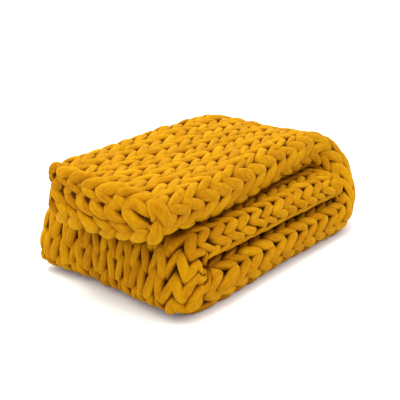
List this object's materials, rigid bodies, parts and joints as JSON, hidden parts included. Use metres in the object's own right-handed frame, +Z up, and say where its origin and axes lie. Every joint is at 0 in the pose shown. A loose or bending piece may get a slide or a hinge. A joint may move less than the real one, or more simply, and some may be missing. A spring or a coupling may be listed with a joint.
{
  "type": "weighted blanket",
  "caption": "Chunky hand-knitted weighted blanket of plump yarn, folded in thirds across and along into a compact stack that lies flat.",
  "frame": {"origin": "centre of the folded blanket's box, on the surface it rests on", "axes": "+X along the folded blanket's length, towards the large fold; +Y across it, away from the closed side fold; +Z up"},
  "size_m": [0.686, 0.4072, 0.2364],
  "materials": {
    "knitted_cotton": "matte"
  },
  "bodies": {
    "root": {"blanket": "knitted_cotton"}
  },
  "joints": []
}
